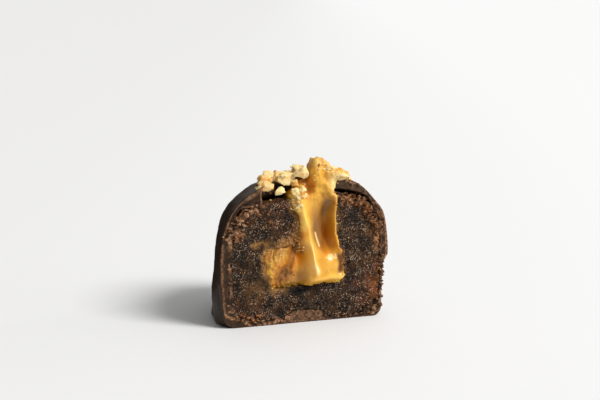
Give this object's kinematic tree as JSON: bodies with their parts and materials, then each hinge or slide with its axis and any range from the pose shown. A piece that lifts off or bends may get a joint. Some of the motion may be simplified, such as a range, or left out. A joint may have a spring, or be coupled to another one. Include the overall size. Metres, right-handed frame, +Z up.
{
  "type": "stuffed date half",
  "caption": "Cut half of a chocolate-coated date stuffed with peanut butter, topped with chopped peanuts, standing on its flat base with the cut face upright.",
  "frame": {"origin": "on the flat base, under the middle of the width and halfway between the cut face and the tip", "axes": "+Z up, the cut face looks along -Y, the tip points along +Y, +X to the right seen from the cut"},
  "size_m": [0.0282, 0.0224, 0.026],
  "materials": {
    "chocolate": "set dark chocolate, soft gloss outside and matte at the cut",
    "date_flesh": "moist, granular date paste",
    "peanut_butter": "smooth, oily peanut butter",
    "peanut": "dry chopped roasted peanut"
  },
  "bodies": {
    "root": {"chocolate_coat": "chocolate", "date_flesh": "date_flesh", "peanut_butter": "peanut_butter"}
  },
  "joints": []
}
